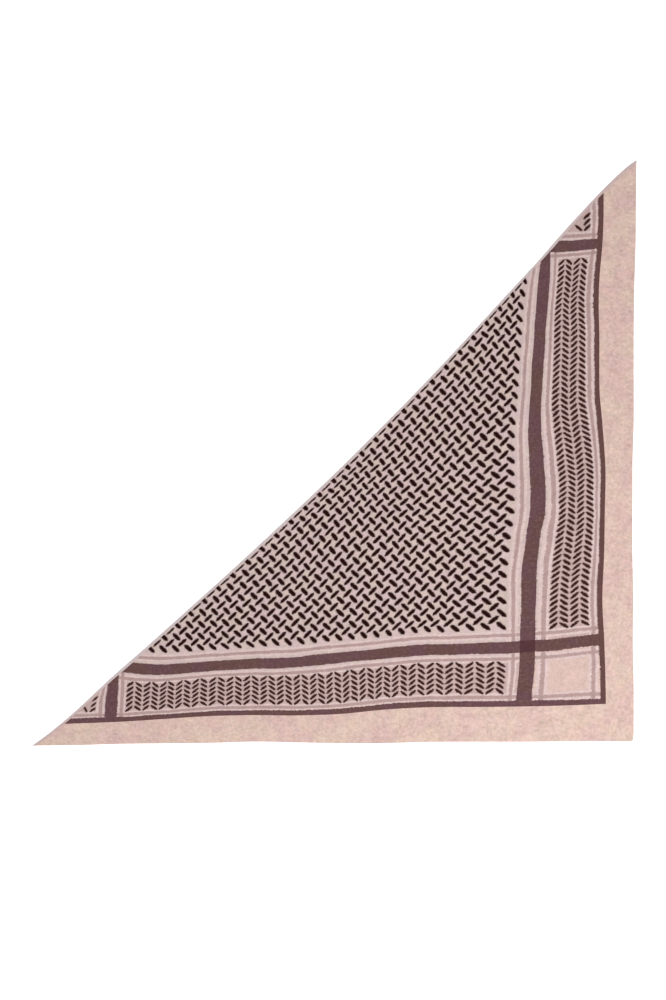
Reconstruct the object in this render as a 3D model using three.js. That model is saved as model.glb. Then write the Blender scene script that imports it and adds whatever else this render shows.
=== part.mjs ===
// A knitted triangle scarf, laid out flat with its right side up.
//
// Units are millimetres and +Z is up. Seen from above, the right-angled corner is at the right
// and nearest the viewer, one short side runs away from the viewer (+Y) and the other runs to
// the left (-X). The origin is under the middle of the scarf's outline, on the surface it lies on.
//
// The scarf is described as it was knitted, as a right triangle with two equal legs. A place in
// the knitting is [across, up]: the distance in from the side edge and the distance up from the
// bottom edge. onTable() then says where that place lies, because the cloth is pulled a little
// off its square as it lies, and its long edge bows in.

import * as THREE from "three";

// The knitted cut
const LEG = 1308;
const BAND_WIDTH = 70;
const STRIPE_DEPTH = 222;
const TRIM_DEPTH = 8.5;

// Walls and seams
const CLOTH_THICKNESS = 2;
const TRIM_THICKNESS = 3;
const SEAM_GAP = 0.35;

// How finely the cloth is divided
const PANEL_STEPS = 40;
const BAND_STEPS = 3;

// The two sharp tips as they lie
const LEFT_TIP = new THREE.Vector2(-681, -660);
const TOP_TIP = new THREE.Vector2(681, 660);

// The long edge between the tips. share: how far along the knitted edge from the left tip.
// inward: how far the edge bows in from the straight line between the tips.
// slide: how far the place has slipped along that line, towards the top tip.
const LONG_EDGE = [
  { share: 0.0, inward: 0, slide: 0 },
  { share: 0.04, inward: 7.5, slide: -18 },
  { share: 0.08, inward: 12, slide: -25 },
  { share: 0.14, inward: 14, slide: -28 },
  { share: 0.2, inward: 19, slide: -41 },
  { share: 0.27, inward: 24, slide: -47 },
  { share: 0.34, inward: 29, slide: -43 },
  { share: 0.42, inward: 33, slide: -33 },
  { share: 0.5, inward: 34, slide: -23 },
  { share: 0.58, inward: 32, slide: -13 },
  { share: 0.65, inward: 28, slide: -1 },
  { share: 0.71, inward: 21.5, slide: 10 },
  { share: 0.77, inward: 14.5, slide: 16 },
  { share: 0.84, inward: 7.5, slide: 14 },
  { share: 0.9, inward: -1, slide: 9 },
  { share: 0.95, inward: -5, slide: 4 },
  { share: 0.985, inward: -4, slide: 1 },
  { share: 1.0, inward: 0, slide: 0 },
];

// Knitted lines that follow the side edge. at: distance up from the bottom edge.
// edge, seam, stripe: the x of the side edge, of the band's seam and of the wide stripe's
// inner edge.
const SIDE_LINES = [
  { at: 0, edge: 675, seam: 612, stripe: 400 },
  { at: 100, edge: 675, seam: 611, stripe: 408 },
  { at: 200, edge: 673, seam: 608, stripe: 415 },
  { at: 300, edge: 674, seam: 604, stripe: 418 },
  { at: 400, edge: 672, seam: 608, stripe: 424 },
  { at: 500, edge: 672, seam: 609.5, stripe: 438 },
  { at: 600, edge: 672, seam: 610.5, stripe: 439 },
  { at: 700, edge: 675, seam: 604.5, stripe: 436 },
  { at: 800, edge: 675, seam: 598.5, stripe: 442 },
  { at: 900, edge: 675, seam: 597.5, stripe: 448 },
  { at: 1000, edge: 676, seam: 598, stripe: 456 },
  { at: 1100, edge: 679, seam: 603 },
  { at: 1200, edge: 680 },
];

// Knitted lines that follow the bottom edge. at: distance in from the side edge.
// edge, seam, stripe: the y of the same three lines. A line has no value past its end, where it
// meets the long edge.
const BOTTOM_LINES = [
  { at: 0, edge: -651, seam: -561, stripe: -400 },
  { at: 100, edge: -650, seam: -567.5, stripe: -409 },
  { at: 200, edge: -651.5, seam: -571.5, stripe: -420 },
  { at: 300, edge: -651.5, seam: -572.5, stripe: -427 },
  { at: 400, edge: -652, seam: -573.5, stripe: -431 },
  { at: 500, edge: -654.5, seam: -579, stripe: -440 },
  { at: 600, edge: -655, seam: -588.5, stripe: -449 },
  { at: 700, edge: -653, seam: -591.5, stripe: -458 },
  { at: 800, edge: -651, seam: -591, stripe: -463 },
  { at: 900, edge: -654, seam: -593.5, stripe: -468 },
  { at: 1000, edge: -655, seam: -600.5, stripe: -475 },
  { at: 1100, edge: -656, seam: -609 },
  { at: 1200, edge: -659 },
];

// The columns beside the wide stripe are pulled wide, most at half height
const SIDE_PULL = 0.28;

// The low ripples where the cloth stands off the surface. x, y: the middle of the ripple.
// turn: degrees from +X to its ridge. length, width: its size along and across the ridge.
// rise: its height.
const RIPPLES = [
  { x: 600, y: -70, turn: 8, length: 330, width: 170, rise: 4 },
  { x: 590, y: 290, turn: 24, length: 300, width: 150, rise: 3 },
  { x: 560, y: 470, turn: 62, length: 280, width: 110, rise: 3 },
  { x: -120, y: -580, turn: 96, length: 300, width: 180, rise: 4 },
  { x: 330, y: -560, turn: 78, length: 280, width: 140, rise: 3 },
  { x: -430, y: -560, turn: 30, length: 320, width: 120, rise: 3 },
  { x: -150, y: -150, turn: 36, length: 460, width: 130, rise: 5 },
  { x: 180, y: -140, turn: 47, length: 820, width: 170, rise: 4 },
  { x: 400, y: 80, turn: 66, length: 420, width: 140, rise: 3 },
  { x: 90, y: -390, turn: 14, length: 460, width: 150, rise: 3 },
  { x: 250, y: 190, turn: 40, length: 320, width: 110, rise: 3 },
];

// Finishes
const PATTERN_KNIT = { color: 0xc9aaa4, roughness: 0.95, metalness: 0 };
const BAND_KNIT = { color: 0xddbfb4, roughness: 0.95, metalness: 0 };
const TRIM_KNIT = { color: 0xe3c6bd, roughness: 0.95, metalness: 0 };

// A smooth curve through a short list of [at, value] stops
function smoothCurve(stops) {
  const slopes = stops.map((stop, k) => {
    const before = stops[Math.max(k - 1, 0)];
    const after = stops[Math.min(k + 1, stops.length - 1)];
    return (after[1] - before[1]) / (after[0] - before[0]);
  });
  return (at) => {
    const next = stops.findIndex((stop) => stop[0] > at);
    const k = next < 0 ? stops.length - 2 : Math.max(next - 1, 0);
    const [start, end] = [stops[k], stops[k + 1]];
    const run = end[0] - start[0];
    const t = (at - start[0]) / run;
    const blend = t * t * (3 - 2 * t);
    const lean = t * (1 - t) * run * ((1 - t) * slopes[k] - t * slopes[k + 1]);
    return start[1] + (end[1] - start[1]) * blend + lean;
  };
}

const longEdgeInward = smoothCurve(LONG_EDGE.map((row) => [row.share, row.inward]));
const longEdgeSlide = smoothCurve(LONG_EDGE.map((row) => [row.share, row.slide]));

// Where a share of the knitted long edge lies
function longEdgePoint(share) {
  const chord = TOP_TIP.clone().sub(LEFT_TIP);
  const along = chord.clone().normalize();
  const inward = new THREE.Vector2(along.y, -along.x);
  const point = LEFT_TIP.clone().addScaledVector(chord, share);
  point.addScaledVector(along, longEdgeSlide(share));
  return point.addScaledVector(inward, longEdgeInward(share));
}

// A knitted line of one table, which ends where it meets the long edge
function knitLine(rows, column, depth, meeting) {
  const stops = rows.filter((row) => column in row).map((row) => [row.at, row[column]]);
  return smoothCurve([...stops, [LEG - depth, meeting]]);
}

const sideLines = {
  edge: knitLine(SIDE_LINES, "edge", 0, longEdgePoint(1).x),
  seam: knitLine(SIDE_LINES, "seam", BAND_WIDTH, longEdgePoint(1 - BAND_WIDTH / LEG).x),
  stripe: knitLine(SIDE_LINES, "stripe", STRIPE_DEPTH, longEdgePoint(1 - STRIPE_DEPTH / LEG).x),
};

const bottomLines = {
  edge: knitLine(BOTTOM_LINES, "edge", 0, longEdgePoint(0).y),
  seam: knitLine(BOTTOM_LINES, "seam", BAND_WIDTH, longEdgePoint(BAND_WIDTH / LEG).y),
  stripe: knitLine(BOTTOM_LINES, "stripe", STRIPE_DEPTH, longEdgePoint(STRIPE_DEPTH / LEG).y),
};

// One coordinate of a place: depth is its distance in from the edge that the lines follow,
// at is its distance along them, far is that coordinate of the long edge at the same at
function between(lines, depth, at, far, pull) {
  const room = LEG - at;
  if (depth >= room) {
    return far;
  }
  const stops = [
    [0, lines.edge(at)],
    [BAND_WIDTH, lines.seam(at)],
    [STRIPE_DEPTH, lines.stripe(at)],
  ].filter((stop) => stop[0] < room);
  stops.push([room, far]);
  const k = stops.findIndex((stop) => stop[0] > depth);
  const [start, end] = [stops[k - 1], stops[k]];
  const t = (depth - start[0]) / (end[0] - start[0]);
  const eased = start[0] === STRIPE_DEPTH ? t + pull * t * (1 - t) ** 2 : t;
  return start[1] + (end[1] - start[1]) * eased;
}

// Where a place in the knitting lies on the surface
function onTable(across, up) {
  const height = up / LEG;
  const pull = SIDE_PULL * 4 * height * (1 - height);
  return [
    between(sideLines, across, up, longEdgePoint(height).x, pull),
    between(bottomLines, up, across, longEdgePoint(1 - across / LEG).y, 0),
  ];
}

// A smooth bump that falls to nothing at half its size
function swell(distance, size) {
  return Math.abs(distance) < size / 2 ? Math.cos((Math.PI * distance) / size) ** 2 : 0;
}

// How far the cloth's underside stands off the surface
function lift(x, y) {
  return RIPPLES.reduce((height, ripple) => {
    const turn = THREE.MathUtils.degToRad(ripple.turn);
    const along = (x - ripple.x) * Math.cos(turn) + (y - ripple.y) * Math.sin(turn);
    const aside = (y - ripple.y) * Math.cos(turn) - (x - ripple.x) * Math.sin(turn);
    return height + ripple.rise * swell(along, ripple.length) * swell(aside, ripple.width);
  }, 0);
}

// A wall of cloth over a flat net of knitted places. rim lists the net's edge in order.
function clothWall(name, net, thickness, finish) {
  const laid = net.places.map(([across, up]) => onTable(across, up));
  const count = laid.length;
  const area = net.rim.reduce((sum, p, k) => {
    const q = net.rim[(k + 1) % net.rim.length];
    return sum + laid[p][0] * laid[q][1] - laid[q][0] * laid[p][1];
  }, 0);
  const rim = area > 0 ? net.rim : [...net.rim].reverse();
  const vertices = [0, thickness].flatMap((height) =>
    laid.flatMap(([x, y]) => [x, y, lift(x, y) + height])
  );
  const index = [];
  for (const face of net.faces) {
    const [p, q, r] = area > 0 ? face : [...face].reverse();
    index.push(p, r, q);
    index.push(p + count, q + count, r + count);
  }
  rim.forEach((p, k) => {
    const q = rim[(k + 1) % rim.length];
    index.push(p, q, q + count);
    index.push(p, q + count, p + count);
  });
  const geometry = new THREE.BufferGeometry();
  geometry.setAttribute("position", new THREE.Float32BufferAttribute(vertices, 3));
  geometry.setIndex(index);
  geometry.computeVertexNormals();
  const mesh = new THREE.Mesh(geometry, new THREE.MeshStandardMaterial(finish));
  mesh.name = name;
  return mesh;
}

// The whole numbers from 0 up to a count
function range(count) {
  return Array.from({ length: count }, (_, k) => k);
}

// A net of rows and columns, in the order that goes round its faces the same way as its rim
function stripNet(rows, columns, placeAt) {
  const places = [];
  const faces = [];
  const at = (row, column) => row * (columns + 1) + column;
  for (let row = 0; row <= rows; row += 1) {
    for (let column = 0; column <= columns; column += 1) {
      places.push(placeAt(row, column));
      if (row < rows && column < columns) {
        faces.push([at(row, column), at(row, column + 1), at(row + 1, column + 1)]);
        faces.push([at(row, column), at(row + 1, column + 1), at(row + 1, column)]);
      }
    }
  }
  const rim = [
    ...range(columns).map((k) => at(0, k)),
    ...range(rows).map((k) => at(k, columns)),
    ...range(columns).map((k) => at(rows, columns - k)),
    ...range(rows).map((k) => at(rows - k, 0)),
  ];
  return { places, faces, rim };
}

// A net over a right triangle with its square corner at [corner, corner]
function triangleNet(steps, corner, step) {
  const starts = [];
  const places = [];
  for (let row = 0; row <= steps; row += 1) {
    starts.push(places.length);
    for (let column = 0; column <= steps - row; column += 1) {
      places.push([corner + column * step, corner + row * step]);
    }
  }
  const at = (row, column) => starts[row] + column;
  const faces = [];
  for (let row = 0; row < steps; row += 1) {
    for (let column = 0; column < steps - row; column += 1) {
      faces.push([at(row, column), at(row, column + 1), at(row + 1, column)]);
      if (column < steps - row - 1) {
        faces.push([at(row, column + 1), at(row + 1, column + 1), at(row + 1, column)]);
      }
    }
  }
  const rim = [
    ...range(steps).map((k) => at(0, k)),
    ...range(steps).map((k) => at(k, steps - k)),
    ...range(steps).map((k) => at(steps - k, 0)),
  ];
  return { places, faces, rim };
}

// Distances that the pieces share. A slanting seam's gap is wider when measured along a leg.
const HALF_GAP = SEAM_GAP / 2;
const SLANT_GAP = HALF_GAP * Math.SQRT2;
const TRIM_SEAM = LEG - TRIM_DEPTH;
const PANEL_CORNER = BAND_WIDTH + HALF_GAP;
const PANEL_STEP = (TRIM_SEAM - SLANT_GAP - 2 * PANEL_CORNER) / PANEL_STEPS;
const BAND_COLUMN = (BAND_WIDTH - HALF_GAP) / BAND_STEPS;

// A plain band: its outer edge is a leg of the scarf, and its corner end is mitred
function bandNet(place) {
  return stripNet(PANEL_STEPS, BAND_STEPS, (row, column) => {
    const depth = column * BAND_COLUMN;
    const start = depth + SLANT_GAP;
    const end = TRIM_SEAM - SLANT_GAP - depth;
    return place(depth, start + ((end - start) * row) / PANEL_STEPS);
  });
}

// The trim along the long edge, with a station at each place where its neighbours have one
function trimNet() {
  const inner = TRIM_SEAM + SLANT_GAP;
  const stations = [
    ...range(BAND_STEPS + 1).map((k) => k * BAND_COLUMN),
    ...range(PANEL_STEPS - 1).map((k) => PANEL_CORNER + (k + 1) * PANEL_STEP),
    ...range(BAND_STEPS + 1).map((k) => inner - (BAND_STEPS - k) * BAND_COLUMN),
  ];
  return stripNet(stations.length - 1, 1, (row, column) => {
    const size = column === 0 ? 1 : LEG / inner;
    return [(inner - stations[row]) * size, stations[row] * size];
  });
}

const scarf = new THREE.Group();
scarf.add(
  clothWall(
    "pattern_panel",
    triangleNet(PANEL_STEPS, PANEL_CORNER, PANEL_STEP),
    CLOTH_THICKNESS,
    PATTERN_KNIT
  ),
  clothWall("side_band", bandNet((depth, along) => [depth, along]), CLOTH_THICKNESS, BAND_KNIT),
  clothWall("bottom_band", bandNet((depth, along) => [along, depth]), CLOTH_THICKNESS, BAND_KNIT),
  clothWall("long_edge_trim", trimNet(), TRIM_THICKNESS, TRIM_KNIT)
);

export default scarf;
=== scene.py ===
"""A knitted triangle scarf, laid out flat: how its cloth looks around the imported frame.

Every size is in metres unless a name ends in _mm. A place in the knitting is (across, up): the
distance in from the side edge and the distance up from the bottom edge of the scarf as it was
knitted, before it was laid out. ScarfLayout says where such a place lies on the surface.
"""

from __future__ import annotations

import logging
import math
from dataclasses import dataclass, field
from enum import Enum
from typing import Callable, NamedTuple

import bpy
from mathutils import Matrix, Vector


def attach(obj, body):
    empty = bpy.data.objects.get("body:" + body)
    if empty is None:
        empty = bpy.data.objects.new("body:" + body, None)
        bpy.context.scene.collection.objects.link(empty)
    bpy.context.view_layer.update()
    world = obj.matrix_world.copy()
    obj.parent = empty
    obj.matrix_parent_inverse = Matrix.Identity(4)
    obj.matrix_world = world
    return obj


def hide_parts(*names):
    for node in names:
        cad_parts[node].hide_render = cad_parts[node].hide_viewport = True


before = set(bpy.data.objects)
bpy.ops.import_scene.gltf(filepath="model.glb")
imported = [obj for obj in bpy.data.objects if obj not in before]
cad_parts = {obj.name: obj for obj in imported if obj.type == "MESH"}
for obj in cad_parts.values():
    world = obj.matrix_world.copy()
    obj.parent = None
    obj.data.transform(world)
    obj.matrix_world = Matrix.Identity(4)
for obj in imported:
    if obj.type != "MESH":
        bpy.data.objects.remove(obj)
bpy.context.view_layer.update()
log = logging.getLogger("scarf")

# The knitted cut
LEG = 1.308
BAND_WIDTH = 0.070
STRIPE_OUTER = 0.1962
STRIPE_DEPTH = 0.222
TRIM_DEPTH = 0.0085
CLOTH_THICKNESS = 0.002
TRIM_THICKNESS = 0.003

# The pieces lie this far apart
SEAM_GAP = 0.00008

# The unit of the knitted relief
MILLIMETRE = 0.001

# Knitted places nearer than this are one place, and one this near to an edge is on it
SAME_PLACE_MM = 0.0001
ON_EDGE_MM = 0.01

# How strong the studio's light on the cloth is, where 1 shows a colour as it is
CLOTH_LIGHT = 1.46

# The photograph's place over the cloth: the middle of its frame, and metres for one pixel
PHOTO_CENTRE = Vector((-0.0032, -0.1062, 0.0))
METRES_PER_PIXEL = 0.002255
PHOTO_HEIGHT_PIXELS = 1000


class EdgeRow(NamedTuple):
    """How far the knitted long edge bows in and slips along, at one share of its length."""

    share: float
    inward: float
    slide: float


class LineRow(NamedTuple):
    """Where a short edge and its band's seam lie, at one distance along that edge."""

    at: float
    edge: float
    seam: float | None = None


class StripeRow(NamedTuple):
    """Where the two sides of the wide stripe along a short edge lie."""

    at: float
    outer: float
    inner: float


class DriftRow(NamedTuple):
    """How far a herringbone border has slipped, at one distance along its short edge.

    A shift along is towards the far end of the scarf's sides, +Y or +X, and one aside is square
    to it, +X or +Y.
    """

    at: float
    along: float
    aside: float


class Pull(NamedTuple):
    """A place on the surface around which the net is drawn to the right and ahead."""

    x: float
    y: float
    reach: float
    right: float
    ahead: float


class Ripple(NamedTuple):
    """A low ridge where the cloth stands off the surface, turned so many degrees from +X."""

    x: float
    y: float
    turn: float
    length: float
    width: float
    rise: float


def table(row_kind: type, *rows: tuple[float, ...]) -> tuple:
    """Make a table whose columns have names.

    Args:
        row_kind: the named tuple that gives the names.
        *rows: the numbers of each row.

    Returns:
        The rows.
    """
    return tuple(row_kind(*row) for row in rows)


LONG_EDGE = table(
    EdgeRow,
    (0.0, 0.0, 0.0),
    (0.04, 0.0075, -0.018),
    (0.08, 0.012, -0.025),
    (0.14, 0.014, -0.028),
    (0.2, 0.019, -0.041),
    (0.27, 0.024, -0.047),
    (0.34, 0.029, -0.043),
    (0.42, 0.033, -0.033),
    (0.5, 0.034, -0.023),
    (0.58, 0.032, -0.013),
    (0.65, 0.028, -0.001),
    (0.71, 0.0215, 0.01),
    (0.77, 0.0145, 0.016),
    (0.83, 0.0085, 0.013),
    (0.86, 0.004, 0.004),
    (0.9, -0.001, 0.002),
    (0.95, -0.005, 0.003),
    (0.985, -0.004, 0.001),
    (1.0, 0.0, 0.0),
)

SIDE_LINES = table(
    LineRow,
    (0.0, 0.675, 0.612),
    (0.1, 0.675, 0.611),
    (0.2, 0.673, 0.608),
    (0.3, 0.674, 0.604),
    (0.4, 0.672, 0.608),
    (0.5, 0.672, 0.6095),
    (0.6, 0.672, 0.6105),
    (0.7, 0.675, 0.604),
    (0.765, 0.6751, 0.5982),
    (0.8, 0.675, 0.5972),
    (0.9, 0.675, 0.597),
    (0.96, 0.6754, 0.5955),
    (1.03, 0.6767, 0.5974),
    (1.1, 0.679, 0.6032),
    (1.16, 0.6797, 0.6062),
    (1.2, 0.68),
)

BOTTOM_LINES = table(
    LineRow,
    (0.0, -0.651, -0.561),
    (0.1, -0.65, -0.5675),
    (0.2, -0.6515, -0.5715),
    (0.3, -0.6515, -0.5725),
    (0.4, -0.652, -0.5735),
    (0.5, -0.6545, -0.579),
    (0.6, -0.655, -0.5885),
    (0.7, -0.653, -0.5915),
    (0.8, -0.651, -0.591),
    (0.9, -0.654, -0.5935),
    (1.0, -0.655, -0.5997),
    (1.1, -0.656, -0.6058),
    (1.165, -0.658, -0.6088),
    (1.2, -0.659),
)

SIDE_STRIPE = table(
    StripeRow,
    (0.00, 0.4410, 0.4000),
    (0.05, 0.4430, 0.4040),
    (0.10, 0.4455, 0.4085),
    (0.15, 0.4500, 0.4135),
    (0.20, 0.4515, 0.4155),
    (0.25, 0.4525, 0.4170),
    (0.30, 0.4525, 0.4185),
    (0.35, 0.4540, 0.4190),
    (0.40, 0.4570, 0.4240),
    (0.45, 0.4625, 0.4300),
    (0.50, 0.4720, 0.4380),
    (0.55, 0.4755, 0.4395),
    (0.60, 0.4730, 0.4390),
    (0.65, 0.4685, 0.4360),
    (0.70, 0.4650, 0.4355),
    (0.75, 0.4650, 0.4380),
    (0.80, 0.4680, 0.4420),
    (0.85, 0.4705, 0.4445),
    (0.90, 0.4745, 0.4480),
    (0.95, 0.4780, 0.4515),
    (1.00, 0.4815, 0.4560),
    (1.05, 0.4850, 0.4605),
)

BOTTOM_STRIPE = table(
    StripeRow,
    (0.00, -0.4270, -0.4000),
    (0.05, -0.4310, -0.4040),
    (0.10, -0.4350, -0.4085),
    (0.15, -0.4430, -0.4155),
    (0.20, -0.4480, -0.4200),
    (0.25, -0.4505, -0.4240),
    (0.30, -0.4525, -0.4270),
    (0.35, -0.4540, -0.4290),
    (0.40, -0.4560, -0.4305),
    (0.45, -0.4595, -0.4340),
    (0.50, -0.4635, -0.4400),
    (0.55, -0.4675, -0.4440),
    (0.60, -0.4730, -0.4490),
    (0.65, -0.4780, -0.4535),
    (0.70, -0.4820, -0.4585),
    (0.75, -0.4850, -0.4610),
    (0.80, -0.4865, -0.4630),
    (0.85, -0.4890, -0.4655),
    (0.90, -0.4915, -0.4685),
    (0.95, -0.4955, -0.4720),
    (1.00, -0.4990, -0.4750),
    (1.05, -0.4990, -0.4735),
)

SIDE_DRIFT = table(
    DriftRow,
    (0.000, 0.0000, 0.0000),
    (0.180, 0.0000, 0.0013),
    (0.250, -0.0010, 0.0033),
    (0.340, 0.0010, 0.0043),
    (0.390, 0.0025, 0.0063),
    (0.435, 0.0040, 0.0083),
    (0.480, 0.0050, 0.0083),
    (0.530, 0.0055, 0.0053),
    (0.575, 0.0050, 0.0053),
    (0.620, 0.0015, 0.0043),
    (0.665, 0.0010, 0.0043),
    (0.710, 0.0005, 0.0013),
    (0.755, 0.0010, -0.0007),
    (0.800, 0.0010, -0.0017),
    (0.850, 0.0020, -0.0017),
    (0.890, 0.0030, -0.0022),
    (0.940, 0.0025, -0.0037),
    (0.985, 0.0025, -0.0047),
    (1.030, 0.0020, -0.0037),
    (1.080, 0.0015, -0.0027),
    (1.120, -0.0010, 0.0003),
    (1.165, -0.0010, 0.0003),
    (1.308, 0.0000, 0.0000),
)

BOTTOM_DRIFT = table(
    DriftRow,
    (0.000, 0.0000, 0.0000),
    (0.180, 0.0008, 0.0007),
    (0.200, -0.0007, 0.0007),
    (0.222, 0.0005, 0.0007),
    (0.236, 0.0032, 0.0007),
    (0.275, 0.0008, 0.0012),
    (0.320, -0.0057, 0.0012),
    (0.360, -0.0102, 0.0012),
    (0.405, -0.0122, 0.0012),
    (0.450, -0.0112, 0.0012),
    (0.490, -0.0092, 0.0007),
    (0.535, -0.0062, 0.0002),
    (0.580, -0.0047, -0.0008),
    (0.625, -0.0032, -0.0013),
    (0.670, -0.0017, -0.0013),
    (0.720, -0.0007, 0.0002),
    (0.765, -0.0002, 0.0007),
    (0.810, -0.0007, 0.0012),
    (0.855, -0.0017, 0.0012),
    (0.900, -0.0042, 0.0012),
    (0.950, -0.0042, 0.0007),
    (0.995, -0.0032, -0.0003),
    (1.040, -0.0012, -0.0008),
    (1.085, -0.0002, -0.0018),
    (1.130, -0.0032, -0.0038),
    (1.165, -0.0068, -0.0022),
    (1.308, 0.0000, 0.0000),
)

PULLS = table(
    Pull,
    (0.350, 0.120, 0.215, 0.011, -0.001),
    (0.272, -0.060, 0.190, -0.002, -0.007),
    (0.024, -0.140, 0.170, -0.003, 0.009),
    (0.140, -0.105, 0.135, -0.005, -0.001),
    (0.115, -0.305, 0.180, 0.007, 0.000),
    (0.205, -0.310, 0.160, 0.003, -0.006),
    (-0.225, -0.395, 0.135, -0.004, -0.003),
    (0.260, -0.404, 0.135, -0.002, -0.001),
    (0.350, -0.200, 0.180, 0.003, -0.003),
    (-0.055, -0.332, 0.160, 0.003, 0.001),
    (0.216, 0.030, 0.160, 0.003, 0.000),
    (0.035, -0.399, 0.135, 0.003, -0.003),
    (0.370, 0.270, 0.120, 0.003, 0.002),
    (0.380, -0.030, 0.120, 0.004, -0.001),
    (-0.055, -0.196, 0.120, -0.002, 0.001),
    (0.110, -0.070, 0.110, -0.002, 0.000),
    (0.370, -0.335, 0.100, 0.002, -0.001),
)

RIPPLES = table(
    Ripple,
    (0.600, -0.070, 8, 0.330, 0.170, 0.004),
    (0.590, 0.290, 24, 0.300, 0.150, 0.003),
    (0.560, 0.470, 62, 0.280, 0.110, 0.003),
    (-0.120, -0.580, 96, 0.300, 0.180, 0.004),
    (0.330, -0.560, 78, 0.280, 0.140, 0.003),
    (-0.430, -0.560, 30, 0.320, 0.120, 0.003),
    (-0.150, -0.150, 36, 0.460, 0.130, 0.005),
    (0.180, -0.140, 47, 0.820, 0.170, 0.004),
    (0.400, 0.080, 66, 0.420, 0.140, 0.003),
    (0.090, -0.390, 14, 0.460, 0.150, 0.003),
    (0.250, 0.190, 40, 0.320, 0.110, 0.003),
)

Curve = Callable[[float], float]
Stops = list[tuple[float, float]]


def smooth_curve(stops: Stops) -> Curve:
    """Make a smooth curve through a short list of stops.

    Args:
        stops: (at, value) pairs in rising order of at.

    Returns:
        A function that gives the value at any place.
    """
    last = len(stops) - 1
    slopes = []
    for k in range(len(stops)):
        before, after = stops[max(k - 1, 0)], stops[min(k + 1, last)]
        slopes.append((after[1] - before[1]) / (after[0] - before[0]))

    def value(at: float) -> float:
        """Give the curve's value at one place.

        Args:
            at: the place.

        Returns:
            The value.
        """
        k = 0
        while k < last - 1 and stops[k + 1][0] <= at:
            k += 1
        (start, low), (end, high) = stops[k], stops[k + 1]
        run = end - start
        t = (at - start) / run
        blend = t * t * (3 - 2 * t)
        lean = t * (1 - t) * run * ((1 - t) * slopes[k] - t * slopes[k + 1])
        return low + (high - low) * blend + lean

    return value


def ease(value: float, low: float, high: float) -> float:
    """Rise smoothly from 0 at the low value to 1 at the high one."""
    t = min(max((value - low) / (high - low), 0.0), 1.0)
    return t * t * (3 - 2 * t)


def swell(distance: float, size: float) -> float:
    """Give a smooth bump, 1 in the middle and 0 from half its size outwards."""
    return math.cos(math.pi * distance / size) ** 2 if abs(distance) < size / 2 else 0.0


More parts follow.
